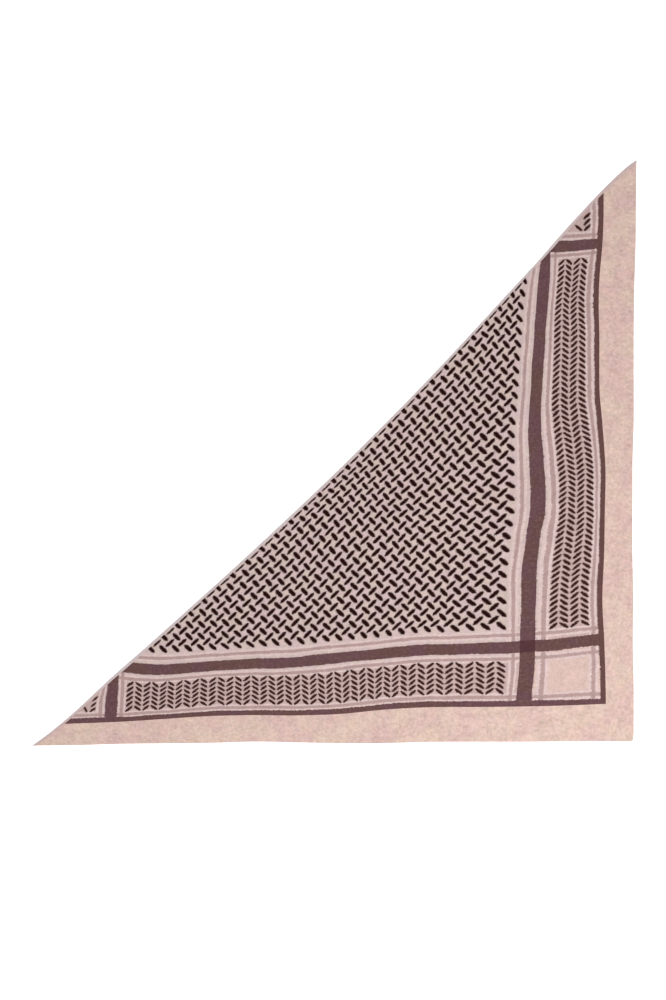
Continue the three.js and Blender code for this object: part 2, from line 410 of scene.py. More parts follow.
@dataclass
class ScarfLayout:
    """Where each place of the knitting lies on the surface.

    Attributes:
        left_tip: the tip at the far end of the bottom edge.
        top_tip: the tip at the far end of the side edge.
        side_pull: how much the columns beside the wide stripe are pulled wide at half height.
        corner_round: how far the square corner is rounded off, and over what distance.
        aside_starts: the depths between which a border's shift aside grows.
        aside_ends: the depths between which it fades again.
        along_ends: the depths between which a border's shift along fades.
        net_starts: the depths between which the net's pulls grow.
        net_rim: the distances in from the long edge between which they grow.
        border_rim: the same for the borders' shifts.
    """

    left_tip: Vector = field(default_factory=lambda: Vector((-0.681, -0.660)))
    top_tip: Vector = field(default_factory=lambda: Vector((0.681, 0.660)))
    side_pull: float = 0.28
    corner_round: tuple[float, float] = (0.0025, 0.016)
    aside_starts: tuple[float, float] = (0.076, 0.100)
    aside_ends: tuple[float, float] = (0.172, STRIPE_OUTER)
    along_ends: tuple[float, float] = (0.200, 0.300)
    net_starts: tuple[float, float] = (STRIPE_DEPTH, 0.270)
    net_rim: tuple[float, float] = (TRIM_DEPTH, 0.070)
    border_rim: tuple[float, float] = (TRIM_DEPTH, 0.040)

    def __post_init__(self) -> None:
        """Work out the curves from the tables."""
        self.inward = smooth_curve([(row.share, row.inward) for row in LONG_EDGE])
        self.slide = smooth_curve([(row.share, row.slide) for row in LONG_EDGE])
        self.side = self._lines(
            SIDE_LINES, SIDE_STRIPE, lambda share: self.long_edge(1 - share).x
        )
        self.bottom = self._lines(
            BOTTOM_LINES, BOTTOM_STRIPE, lambda share: self.long_edge(share).y
        )
        self.side_drift = self._drifts(SIDE_DRIFT)
        self.bottom_drift = self._drifts(BOTTOM_DRIFT)

    @staticmethod
    def _drifts(rows: tuple[DriftRow, ...]) -> tuple[Curve, Curve]:
        """Make the curves of a border's shift along and aside.

        Args:
            rows: the border's table.

        Returns:
            The curve along and the curve aside.
        """
        along = smooth_curve([(row.at, row.along) for row in rows])
        aside = smooth_curve([(row.at, row.aside) for row in rows])
        return along, aside

    def long_edge(self, share: float) -> Vector:
        """Give a place on the knitted long edge.

        Args:
            share: its distance from the left tip, as a share of the edge.

        Returns:
            The place on the surface.
        """
        chord = self.top_tip - self.left_tip
        along = chord.normalized()
        inward = Vector((along.y, -along.x))
        point = self.left_tip + chord * share
        return point + along * self.slide(share) + inward * self.inward(share)

    def _lines(
        self, rows: tuple[LineRow, ...], stripe: tuple[StripeRow, ...], meeting: Curve
    ) -> list[tuple[float, Curve]]:
        """Make the four knitted lines that follow a short edge.

        Args:
            rows: the edge's and the seam's table.
            stripe: the wide stripe's table.
            meeting: the coordinate at which a line of that depth, as a share of the leg, meets
                the long edge.

        Returns:
            (depth, curve) for the edge, the band's seam and the stripe's two sides.
        """
        tables = (
            (0.0, [(row.at, row.edge) for row in rows]),
            (BAND_WIDTH, [(row.at, row.seam) for row in rows if row.seam is not None]),
            (STRIPE_OUTER, [(row.at, row.outer) for row in stripe]),
            (STRIPE_DEPTH, [(row.at, row.inner) for row in stripe]),
        )
        return [
            (depth, smooth_curve(stops + [(LEG - depth, meeting(depth / LEG))]))
            for depth, stops in tables
        ]

    @staticmethod
    def _between(
        lines: list[tuple[float, Curve]], depth: float, at: float, far: float, pull: float
    ) -> float:
        """Give one coordinate of a place between the knitted lines.

        Args:
            lines: the lines that follow one short edge.
            depth: the place's distance in from that edge.
            at: its distance along the edge.
            far: the coordinate of the long edge at the same distance along.
            pull: how much wider the cloth is beside the wide stripe.

        Returns:
            The coordinate on the surface.
        """
        room = LEG - at
        if depth >= room:
            return far
        stops = [(line, curve(at)) for line, curve in lines if line < room]
        stops.append((room, far))
        k = next(k for k, stop in enumerate(stops) if stop[0] > depth)
        (start, low), (end, high) = stops[k - 1], stops[k]
        t = (depth - start) / (end - start)
        eased = t + pull * t * (1 - t) ** 2 if start == STRIPE_DEPTH else t
        return low + (high - low) * eased

    def on_table(self, across: float, up: float) -> Vector:
        """Give the place on the surface where a place of the knitting lies.

        Args:
            across: its distance in from the side edge.
            up: its distance up from the bottom edge.

        Returns:
            The place on the surface.
        """
        height = up / LEG
        pull = self.side_pull * 4 * height * (1 - height)
        x = self._between(self.side, across, up, self.long_edge(height).x, pull)
        y = self._between(self.bottom, up, across, self.long_edge(1 - across / LEG).y, 0.0)
        return self._settle(Vector((x, y)), across, up)

    def _border_drift(
        self, drift: tuple[Curve, Curve], depth: float, at: float
    ) -> tuple[float, float]:
        """Give a border's shift along and aside at one place.

        Args:
            drift: the border's curves.
            depth: the place's distance in from the short edge.
            at: its distance along that edge.

        Returns:
            The shift along and the shift aside.
        """
        along, aside = drift
        in_border = ease(depth, *self.aside_starts) * (1 - ease(depth, *self.aside_ends))
        return along(at) * (1 - ease(depth, *self.along_ends)), aside(at) * in_border

    def _settle(self, spot: Vector, across: float, up: float) -> Vector:
        """Move a place by the borders' drift, the net's pulls and the corner's rounding.

        Args:
            spot: the place on the surface so far.
            across: its distance in from the side edge.
            up: its distance up from the bottom edge.

        Returns:
            The place on the surface.
        """
        room = LEG - across - up
        free = ease(room, *self.net_rim)
        slack = ease(room, *self.border_rim)
        side_along, side_aside = self._border_drift(self.side_drift, across, up)
        bottom_along, bottom_aside = self._border_drift(self.bottom_drift, up, across)
        in_net = ease(min(across, up), *self.net_starts)
        right = (side_aside + bottom_along) * slack
        ahead = (side_along + bottom_aside) * slack
        for pull in PULLS:
            away = math.hypot(spot.x - pull.x, spot.y - pull.y)
            weight = free * in_net * swell(away, 2 * pull.reach)
            right += pull.right * weight
            ahead += pull.ahead * weight
        cut, reach = self.corner_round
        nearness = max(0.0, 1 - (across + up) / reach) ** 2
        return Vector((spot.x + right - cut * nearness, spot.y + ahead + cut * nearness))

    @staticmethod
    def lift(x: float, y: float) -> float:
        """Give how far the cloth's underside stands off the surface.

        Args:
            x: the place on the surface, to the right.
            y: the place on the surface, ahead.

        Returns:
            The underside's height.
        """
        height = 0.0
        for ripple in RIPPLES:
            turn = math.radians(ripple.turn)
            right, ahead = x - ripple.x, y - ripple.y
            along = right * math.cos(turn) + ahead * math.sin(turn)
            aside = ahead * math.cos(turn) - right * math.sin(turn)
            height += ripple.rise * swell(along, ripple.length) * swell(aside, ripple.width)
        return height


def linear(channel: float) -> float:
    """Turn one 0 to 255 screen value into the light that it stands for."""
    share = channel / 255
    return share / 12.92 if share <= 0.04045 else ((share + 0.055) / 1.055) ** 2.4


@dataclass(frozen=True)
class Yarn:
    """One colour of yarn, as the red, green and blue that the photograph shows."""

    red: float
    green: float
    blue: float

    def paint(self) -> tuple[float, float, float, float]:
        """Give the colour that shows as the yarn's in the studio's light."""
        return tuple(linear(c) / CLOTH_LIGHT for c in (self.red, self.green, self.blue)) + (1.0,)


class Reading:
    """A number that a material works out at each point, written as an ordinary sum."""

    def __init__(self, dyer: Dyer, socket: bpy.types.NodeSocket) -> None:
        """Wrap an output socket of one of the dyer's nodes."""
        self.dyer = dyer
        self.socket = socket

    def __add__(self, other: Number) -> Reading:
        """Add a reading or a number."""
        return self.dyer.maths("ADD", self, other)

    __radd__ = __add__

    def __sub__(self, other: Number) -> Reading:
        """Take away a reading or a number."""
        return self.dyer.maths("SUBTRACT", self, other)

    def __rsub__(self, other: Number) -> Reading:
        """Take this reading away from a number."""
        return self.dyer.maths("SUBTRACT", other, self)

    def __mul__(self, other: Number) -> Reading:
        """Multiply by a reading or a number."""
        return self.dyer.maths("MULTIPLY", self, other)

    __rmul__ = __mul__

    def __truediv__(self, other: Number) -> Reading:
        """Divide by a reading or a number."""
        return self.dyer.maths("DIVIDE", self, other)

    def __lt__(self, other: Number) -> Reading:
        """Give 1 where this is less, and 0 elsewhere."""
        return self.dyer.maths("LESS_THAN", self, other)

    def __gt__(self, other: Number) -> Reading:
        """Give 1 where this is more, and 0 elsewhere."""
        return self.dyer.maths("GREATER_THAN", self, other)


Number = Reading | float


class Dyer:
    """Lays out the nodes of one material."""

    def __init__(self, name: str) -> None:
        """Start a material with no nodes yet.

        Args:
            name: the material's name.
        """
        self.material = bpy.data.materials.new(name)
        self.material.use_nodes = True
        self.tree = self.material.node_tree
        self.tree.nodes.clear()

    def node(self, kind: str, settings: dict | None = None, **inputs: object) -> bpy.types.Node:
        """Add any node.

        Args:
            kind: the node's type without the ShaderNode at its front.
            settings: properties to set first, such as a Math node's operation.
            **inputs: a value, a reading or a socket for each input. A name's spaces are
                underscores, and in_0 is the first input.

        Returns:
            The node.
        """
        node = self.tree.nodes.new("ShaderNode" + kind)
        for key, value in (settings or {}).items():
            setattr(node, key, value)
        for key, value in inputs.items():
            slot = int(key[3:]) if key.startswith("in_") else key.replace("_", " ")
            socket = node.inputs[slot]
            source = value.socket if isinstance(value, Reading) else value
            if isinstance(source, bpy.types.NodeSocket):
                self.tree.links.new(source, socket)
            else:
                socket.default_value = source
        return node

    def maths(self, operation: str, *values: Number, clamp: bool = False) -> Reading:
        """Add a Math node.

        Args:
            operation: what the node works out.
            *values: what it works on.
            clamp: whether the result is kept between 0 and 1.

        Returns:
            The result.
        """
        inputs = {f"in_{k}": value for k, value in enumerate(values)}
        node = self.node("Math", {"operation": operation, "use_clamp": clamp}, **inputs)
        return Reading(self, node.outputs[0])

    def whole(self, value: Number) -> Reading:
        """Round a reading down to a whole number."""
        return self.maths("FLOOR", value)

    def size(self, value: Number) -> Reading:
        """Give a reading without its sign."""
        return self.maths("ABSOLUTE", value)

    def most(self, *values: Number) -> Number:
        """Give the largest of several readings.

        Args:
            *values: the readings.

        Returns:
            The largest one at each point.
        """
        result = values[0]
        for value in values[1:]:
            result = self.maths("MAXIMUM", result, value)
        return result

    def repeat(self, value: Number, pitch: float) -> Reading:
        """Give the distance from the nearest of a row of marks, the first at 0."""
        return self.maths("WRAP", value, pitch / 2, -pitch / 2)

    def within(self, value: Reading, low: float, high: float) -> Reading:
        """Give 1 between two values, and 0 outside them."""
        return (value > low) * (value < high)

    def ramp(self, value: Number, low: float, high: float) -> Reading:
        """Rise smoothly from 0 at the low value to 1 at the high one."""
        node = self.node(
            "MapRange",
            {"interpolation_type": "SMOOTHSTEP"},
            Value=value,
            From_Min=low,
            From_Max=high,
        )
        return Reading(self, node.outputs["Result"])

    def noise(self, place: bpy.types.NodeSocket, size: float, detail: float = 2.0) -> Reading:
        """Give soft noise around 0.5 whose patches are about the given size."""
        node = self.node("TexNoise", {}, Vector=place, Scale=1 / size, Detail=detail)
        return Reading(self, node.outputs["Fac"])

    def speck(self, place: bpy.types.NodeSocket) -> Reading:
        """Give each stitch a number of its own, from -0.5 to 0.5."""
        grain = self.node("TexWhiteNoise", {"noise_dimensions": "2D"}, Vector=place)
        return Reading(self, grain.outputs["Value"]) - 0.5

    def combine(self, x: Number, y: Number, z: Number = 0.0) -> bpy.types.NodeSocket:
        """Make a vector of three readings."""
        return self.node("CombineXYZ", {}, X=x, Y=y, Z=z).outputs["Vector"]

    def blend(
        self, mask: Number, under: object, over: object, kind: str = "MIX"
    ) -> bpy.types.NodeSocket:
        """Lay one colour over another.

        Args:
            mask: 0 keeps the first colour and 1 gives the second.
            under: a yarn, a colour or a colour's socket.
            over: the same for the second.
            kind: the Mix node's blend type.

        Returns:
            The mixed colour's socket.
        """
        under, over = (c.paint() if isinstance(c, Yarn) else c for c in (under, over))
        settings = {"data_type": "RGBA", "blend_type": kind}
        return self.node("Mix", settings, in_0=mask, in_6=under, in_7=over).outputs[2]


class Lean(Enum):
    """Which way a short slanted figure leans, seen with the cloth right side up."""

    LEFT = 1.0
    RIGHT = -1.0


@dataclass(frozen=True)
class Gauge:
    """The size of one stitch.

    Attributes:
        wale_mm: its width.
        course_mm: its height.
        vee: how far its two legs rise from its middle to its sides, in courses.
        leg_middle: where the crest of a leg is, from the stitch's middle at 0 to its side at 1.
        leg_fall: how steeply a leg falls away from its crest.
        bead_fall: how steeply it falls away towards the courses above and below.
    """

    wale_mm: float = 1.6
    course_mm: float = 1.152
    vee: float = 0.6
    leg_middle: float = 0.55
    leg_fall: float = 1.8
    bead_fall: float = 1.4


@dataclass(frozen=True)
class Knit:
    """A plain wool knit: its stitches, its nap and how it takes the light.

    Attributes:
        gauge: the size of its stitches.
        stitch_relief: the stitches' height, in millimetres.
        nap_relief: the nap's height, in millimetres.
        nap_size: the size of a tuft of the nap.
        bump: how strongly the relief tells.
        roughness: the shader's roughness.
        sheen: the shader's sheen.
        gloss: the shader's specular level.
    """

    gauge: Gauge = Gauge()
    stitch_relief: float = 0.22
    nap_relief: float = 0.25
    nap_size: float = 0.0012
    bump: float = 0.6
    roughness: float = 0.92
    sheen: float = 0.02
    gloss: float = 0.05

    def places(self, dyer: Dyer) -> tuple[Reading, Reading]:
        """Read the knitting's own places.

        Args:
            dyer: the material's nodes.

        Returns:
            The place across and up, in millimetres.
        """
        knit = dyer.node("Attribute", {"attribute_name": "knit"}).outputs["Vector"]
        split = dyer.node("SeparateXYZ", {}, Vector=knit)
        return Reading(dyer, split.outputs["X"]), Reading(dyer, split.outputs["Y"])

    def stitches(self, dyer: Dyer, across: Reading, up: Reading) -> tuple[Reading, ...]:
        """Divide the cloth into stitches.

        Args:
            dyer: the material's nodes.
            across: the place across the knitting, in millimetres.
            up: the place up the knitting, in millimetres.

        Returns:
            The middle of the stitch across and up, and the height of its two legs.
        """
        gauge = self.gauge
        column = across / gauge.wale_mm
        wale = dyer.whole(column)
        side = dyer.size(column - wale - 0.5) * 2
        row = up / gauge.course_mm - side * gauge.vee
        course = dyer.whole(row)
        middle_across = (wale + 0.5) * gauge.wale_mm
        middle_up = (course + 0.5 + gauge.vee / 2) * gauge.course_mm
        leg = 1 - dyer.size(side - gauge.leg_middle) * gauge.leg_fall
        bead = 1 - dyer.size(row - course - 0.5) * gauge.bead_fall
        return middle_across, middle_up, dyer.maths("MULTIPLY", leg, bead, clamp=True)

    def finish(
        self, dyer: Dyer, colour: bpy.types.NodeSocket, height: Reading
    ) -> bpy.types.Material:
        """Close a cloth's material with its shader.

        Args:
            dyer: the material's nodes.
            colour: the colour at each point.
            height: the relief at each point, where 1 is the crest of a stitch.

        Returns:
            The material.
        """
        place = dyer.node("TexCoord").outputs["Object"]
        nap = dyer.noise(place, self.nap_size, 3.0)
        surface = height * self.stitch_relief + nap * self.nap_relief
        bump = dyer.node("Bump", {}, Height=surface, Distance=MILLIMETRE, Strength=self.bump)
        shader = dyer.node(
            "BsdfPrincipled",
            {},
            Base_Color=colour,
            Roughness=self.roughness,
            Normal=bump.outputs["Normal"],
            Sheen_Weight=self.sheen,
            Sheen_Roughness=0.5,
            Specular_IOR_Level=self.gloss,
        )
        dyer.node("OutputMaterial", {}, Surface=shader.outputs["BSDF"])
        return dyer.material


@dataclass(frozen=True)
class Melange:
    """How unevenly a yarn takes its dye.

    Attributes:
        patch: how much soft patches differ in strength.
        slub: how much short thick places differ.
        stitch: how much single stitches differ.
        warmth: how much it turns from warm to cool.
        sizes_mm: the sizes of the patches, the slubs and the warm places.
    """

    patch: float
    slub: float
    stitch: float
    warmth: float
    sizes_mm: tuple[float, float, float] = (24.0, 7.0, 14.0)

    def shade(
        self, dyer: Dyer, colour: object, across: Reading, up: Reading
    ) -> bpy.types.NodeSocket:
        """Lay the unevenness over a colour.

        Args:
            dyer: the material's nodes.
            colour: the yarn's colour or its socket.
            across: the middle of the stitch across the knitting, in millimetres.
            up: the middle of the stitch up the knitting, in millimetres.

        Returns:
            The colour's socket.
        """
        place = dyer.combine(across, up)
        patch_mm, slub_mm, warm_mm = self.sizes_mm
        patches = dyer.noise(place, patch_mm, 3.0) - 0.5
        slubs = dyer.noise(dyer.combine(across, up, 30.0), slub_mm) - 0.5
        warm = dyer.noise(dyer.combine(across, up, 60.0), warm_mm) - 0.5
        level = 1 + patches * self.patch + slubs * self.slub + dyer.speck(place) * self.stitch
        warmer = (warm + dyer.speck(dyer.combine(up, across)) * 0.3) * self.warmth
        dye = dyer.combine(level + warmer, level, level - warmer)
        return dyer.blend(1.0, colour, dye, "MULTIPLY")


@dataclass(frozen=True)
class BandCloth:
    """The plain melange band."""

    knit: Knit = Knit()
    beige: Yarn = Yarn(225, 198, 183)
    pink: Yarn = Yarn(222, 189, 182)
    melange: Melange = Melange(0.3, 0.56, 0.24, 0.11)

    def material(self) -> bpy.types.Material:
        """Make the band's material.

        Returns:
            The material.
        """
        dyer = Dyer("band_knit")
        across, up = self.knit.places(dyer)
        middle_across, middle_up, stitch = self.knit.stitches(dyer, across, up)
        tint = dyer.noise(dyer.combine(middle_across, middle_up, 7.0), 60.0)
        yarn = dyer.blend(dyer.ramp(tint, 0.35, 0.65), self.beige, self.pink)
        colour = self.melange.shade(dyer, yarn, middle_across, middle_up)
        return self.knit.finish(dyer, colour, stitch)


@dataclass(frozen=True)
class TrimCloth:
    """The narrow trim along the long edge.

    Attributes:
        middle_mm: the middle of its length.
        blush_mm: the distances from there between which it turns from pale to blush.
    """

    knit: Knit = Knit(stitch_relief=0.35)
    pale: Yarn = Yarn(216, 200, 200)
    blush: Yarn = Yarn(213, 190, 188)
    middle_mm: float = 925.0
    blush_mm: tuple[float, float] = (640.0, 800.0)
    melange: Melange = Melange(0.14, 0.16, 0.12, 0.03)

    def material(self) -> bpy.types.Material:
        """Make the trim's material.

        Returns:
            The material.
        """
        dyer = Dyer("trim_knit")
        across, up = self.knit.places(dyer)
        middle_across, middle_up, stitch = self.knit.stitches(dyer, across, up)
        tips = dyer.ramp(dyer.size(middle_up - self.middle_mm), *self.blush_mm)
        yarn = dyer.blend(tips, self.pale, self.blush)
        colour = self.melange.shade(dyer, yarn, middle_across, middle_up)
        return self.knit.finish(dyer, colour, stitch)


@dataclass(frozen=True)
class Herringbone:
    """A block of slanted figures whose columns lean left and right in turn, in millimetres.

    Attributes:
        across: the place of its first figure across the knitting.
        up: the place of its first figure up the knitting.
        columns: how many columns it has.
        rows: how many figures are in a column.
        lean: which way the first column leans.
        fullness: how big its figures are, against the borders'.
    """

    across: float
    up: float
    columns: int
    rows: int
    lean: Lean = Lean.LEFT
    fullness: float = 1.0


@dataclass(frozen=True)
class Figures:
    """The traditional pattern's figures, in millimetres from the scarf's outer edges.

    Attributes:
        leg_mm: the length of a short edge.
        side_thin_end: where the thin stripe beside the side band ends.
        bottom_thin_end: where the one beside the bottom band ends.
        corner_nip: how much narrower both are in the corner.
        corner_run: the distances along the edge between which they widen from it.
        top_spread: how much wider the side's is near the top tip.
        top_run: the distances along the edge between which it widens.
        far_stripe: the wide stripe that crosses a far tip, and far_grey_lines the lines by it.
        top_nearer: how much nearer those are to the corner at the top tip.
        pale_reach: how far the pale ground reaches to each side of a grey line's middle.
        figure_strip: the strip of the herringbone borders, where the ground is veiled.
        net_start: the middle of the net's first figure.
        net_rim: the distances in from the long edge between which the net's figures fill out.
        rim_slim: how slim those that lean right are at the long edge.
        broad_width: the width of the net's figures that lean left.
        herring_slope: how steeply a figure rises across its column.
    """

    leg_mm: float = 1308.0
    side_thin_end: float = 81.0
    bottom_thin_end: float = 83.8
    corner_nip: float = 2.6
    corner_run: tuple[float, float] = (110.0, 190.0)
    top_spread: float = 1.4
    top_run: tuple[float, float] = (900.0, 980.0)
    wide_stripe: tuple[float, float] = (195.0, 220.8)
    far_stripe: tuple[float, float] = (1109.6, 1135.5)
    grey_lines: tuple[float, ...] = (91.3, 181.5, 235.5)
    far_grey_lines: tuple[float, ...] = (1100.5, 1144.6)
    top_nearer: float = 8.0
    grey_width: float = 7.5
    pale_reach: float = 9.0
    figure_strip: tuple[float, float] = (98.0, 174.0)
    net_start: float = 258.2
    net_repeat: float = 28.8
    net_rim: tuple[float, float] = (10.0, 40.0)
    rim_slim: float = 0.55
    figure_length: float = 26.5
    figure_width: float = 9.2
    broad_width: float = 9.8
    herringbones: tuple[Herringbone, ...] = (
        Herringbone(106.9, 250.2, 4, 66),
        Herringbone(258.2, 105.1, 44, 6),
        Herringbone(106.9, 1153.3, 1, 3, Lean.RIGHT),
        Herringbone(126.1, 1153.3, 1, 1, Lean.LEFT),
        Herringbone(1161.2, 105.1, 1, 3, Lean.RIGHT, 0.86),
        Herringbone(1180.4, 105.1, 1, 1, Lean.LEFT, 0.86),
    )
    herring_column: float = 19.2
    herring_row: float = 12.7
    herring_slope: float = 0.72
    herring_length: float = 17.2
    herring_width: float = 8.5


@dataclass(frozen=True)
class PatternCloth:
    """The jacquard panel's right side.

    Attributes:
        fray_mm: how far a stitch's yarn may be out of the pattern's line.
        sway_mm: how far the lines of stitches wander.
        sway_size_mm: the distance over which they do.
        veil: how strongly the ground of the borders is veiled.
        grey_cover: how strongly a grey line covers the ground, away from its crossings.
        thin_brown: how strongly the thin stripes turn brown.
        figure_relief: how much higher a figure stands than the ground.
    """

    knit: Knit = Knit()
    figures: Figures = Figures()
    lilac: Yarn = Yarn(214, 189, 188)
    sand: Yarn = Yarn(214, 192, 184)
    veiled: Yarn = Yarn(200, 171, 167)
    pale: Yarn = Yarn(224, 199, 196)
    grey: Yarn = Yarn(180, 151, 147)
    mauve: Yarn = Yarn(104, 72, 79)
    brown: Yarn = Yarn(103, 73, 69)
    faded: Yarn = Yarn(122, 93, 92)
    crossing: Yarn = Yarn(86, 54, 58)
    black: Yarn = Yarn(36, 8, 5)
    sepia: Yarn = Yarn(58, 28, 24)
    tan: Yarn = Yarn(221, 191, 182)
    melange: Melange = Melange(0.24, 0.3, 0.24, 0.07)
    fray_mm: float = 1.7
    sway_mm: float = 5.0
    sway_size_mm: float = 70.0
    veil: float = 0.8
    grey_cover: float = 0.9
    thin_brown: float = 0.7
    figure_relief: float = 0.5

    def dash(
        self, dyer: Dyer, along: Reading, aside: Reading, size: tuple[float, float]
    ) -> Reading:
        """Draw one short figure with blunt ends, whose rim the wool's fuzz softens.

        Args:
            dyer: the material's nodes.
            along: the distance from its middle along it, in millimetres.
            aside: the distance from its middle across it, in millimetres.
            size: its length and width.

        Returns:
            1 inside the figure and 0 outside it.
        """
        length, width = size
        end = dyer.maths("POWER", dyer.size(along) / (length / 2), 4.0)
        flank = dyer.size(aside) / (width / 2)
        return 1 - dyer.ramp(end + flank, 0.7, 1.3)

    def net(self, dyer: Dyer, across: Reading, up: Reading) -> Reading:
        """Draw the net: one figure of each lean in every cell, slimmer along the long edge.

        Args:
            dyer: the material's nodes.
            across: the place across the knitting, in millimetres.
            up: the place up the knitting, in millimetres.

        Returns:
            1 inside a figure.
        """
        f = self.figures
        half = f.net_repeat / 2
        filled = dyer.ramp(f.leg_mm - across - up, *f.net_rim)
        rim = f.rim_slim + filled * (1 - f.rim_slim)
        drawn = []
        for lean, start in ((Lean.LEFT, f.net_start), (Lean.RIGHT, f.net_start + half)):
            right = dyer.repeat(across - start, f.net_repeat)
            ahead = dyer.repeat(up - start, f.net_repeat)
            along = (right + ahead * lean.value) * math.sqrt(0.5)
            aside = (right - ahead * lean.value) * math.sqrt(0.5)
            width = f.broad_width
            if lean is Lean.RIGHT:
                width = f.figure_width
                aside = aside / rim
            inside = (across > start - half) * (up > start - half)
            drawn.append(self.dash(dyer, along, aside, (f.figure_length, width)) * inside)
        return dyer.most(*drawn)

    def herringbone(self, dyer: Dyer, across: Reading, up: Reading, block: Herringbone) -> Reading:
        """Draw one block of herringbone.

        Args:
            dyer: the material's nodes.
            across: the place across the knitting, in millimetres.
            up: the place up the knitting, in millimetres.
            block: where the block is and how many figures it has.

        Returns:
            1 inside a figure.
        """
        f = self.figures
        width, height = f.herring_column, f.herring_row
        column = across - block.across
        zigzag = dyer.maths("PINGPONG", column + width / 2, width)
        row = up - block.up - (zigzag - width / 2) * (f.herring_slope * block.lean.value)
        figure = self.dash(
            dyer,
            dyer.repeat(column, width),
            dyer.repeat(row, height),
            (f.herring_length * block.fullness, f.herring_width * block.fullness),
        )
        in_columns = dyer.within(column, -width / 2, (block.columns - 0.5) * width)
        in_rows = dyer.within(row, -height / 2, (block.rows - 0.5) * height)
        return figure * in_columns * in_rows

    def lines(
        self, dyer: Dyer, depth: Reading, thin_end: Reading, nearer: float = 0.0
    ) -> dict[str, Reading]:
        """Draw the lines that follow one short edge.

        Args:
            dyer: the material's nodes.
            depth: the distance in from that edge, in millimetres.
            thin_end: where the thin stripe beside the band ends.
            nearer: how much nearer the stripe and lines of the far tip are.

        Returns:
            A mask for each of pale, grey, wide and thin.
        """
        f = self.figures
        far = depth + nearer
        wide = dyer.most(dyer.within(depth, *f.wide_stripe), dyer.within(far, *f.far_stripe))
        middles = [(depth, middle) for middle in f.grey_lines]
        middles += [(far, middle) for middle in f.far_grey_lines]
        distances = [dyer.size(place - middle) for place, middle in middles]
        return {
            "pale": dyer.most(*(off < f.pale_reach for off in distances)),
            "grey": dyer.most(*(off < f.grey_width / 2 for off in distances)),
            "wide": wide,
            "thin": depth < thin_end,
        }

    def colour(self, dyer: Dyer, across: Reading, up: Reading) -> tuple[object, Reading]:
        """Lay the yarns of the pattern over each other.

        Args:
            dyer: the material's nodes.
            across: the middle of the stitch across the knitting, in millimetres.
            up: the middle of the stitch up the knitting, in millimetres.

        Returns:
            The colour's socket, and 1 where a dark figure is.
        """
        f = self.figures
        side_nip = (1 - dyer.ramp(up, *f.corner_run)) * f.corner_nip
        bottom_nip = (1 - dyer.ramp(across, *f.corner_run)) * f.corner_nip
        spread = dyer.ramp(up, *f.top_run) * f.top_spread

        columns = self.lines(dyer, across, f.side_thin_end - side_nip + spread)
        rows = self.lines(dyer, up, f.bottom_thin_end - bottom_nip, f.top_nearer)
        borders = [self.herringbone(dyer, across, up, b) for b in f.herringbones]
        net = self.net(dyer, across, up)
        figures = dyer.most(net, *borders)

        dye = dyer.noise(dyer.combine(across, up, 40.0), 60.0)
        dark = dyer.blend(dyer.ramp(dye, 0.4, 0.6), self.mauve, self.brown)
        worn = dyer.noise(dyer.combine(across, up, 20.0), 5.0, 3.0)
        dark = dyer.blend(dyer.ramp(worn, 0.4, 0.8), dark, self.faded)

        tint = dyer.noise(dyer.combine(across, up, 7.0), 26.0, 3.0)
        ground = dyer.blend(dyer.ramp(tint, 0.4, 0.6), self.lilac, self.sand)
        bordered = dyer.most(
            dyer.within(across, *f.figure_strip), dyer.within(up, *f.figure_strip)
        )
        ground = dyer.blend(bordered * self.veil, ground, self.veiled)
        in_corner = (across < f.wide_stripe[0]) * (up < f.wide_stripe[0])
        ground = dyer.blend(in_corner, ground, self.tan)
        colour = dyer.blend(dyer.most(columns["pale"], rows["pale"]), ground, self.pale)
        grey = dyer.most(columns["grey"], rows["grey"])
        grey_cross = columns["grey"] * rows["grey"]
        cover = grey * self.grey_cover + grey_cross * (1 - self.grey_cover)
        colour = dyer.blend(cover, colour, self.grey)
        wide = dyer.most(columns["wide"], rows["wide"], columns["thin"], rows["thin"])
        dark = dyer.blend(columns["thin"] * self.thin_brown, dark, self.brown)
        colour = dyer.blend(wide, colour, dark)
        crossing = columns["wide"] * rows["wide"]
        colour = dyer.blend(crossing, colour, self.crossing)
        ink = dyer.blend(net, self.sepia, self.black)
        return dyer.blend(figures, colour, ink), figures

    def material(self) -> bpy.types.Material:
        """Make the panel's material.

        Returns:
            The material.
        """
        dyer = Dyer("pattern_knit")
        across, up = self.knit.places(dyer)
        place = dyer.combine(across, up)
        sway = (dyer.noise(place, self.sway_size_mm) - 0.5) * self.sway_mm
        elsewhere = dyer.combine(across, up, 90.0)
        dip = (dyer.noise(elsewhere, self.sway_size_mm) - 0.5) * self.sway_mm
        middle_across, middle_up, stitch = self.knit.stitches(dyer, across + sway, up + dip)
        stray = dyer.speck(dyer.combine(middle_across, middle_up)) * self.fray_mm
        stray_up = dyer.speck(dyer.combine(middle_up, middle_across)) * self.fray_mm
        yarns, figures = self.colour(dyer, middle_across + stray, middle_up + stray_up)
        colour = self.melange.shade(dyer, yarns, middle_across, middle_up)
        height = stitch + figures * self.figure_relief
        return self.knit.finish(dyer, colour, height)


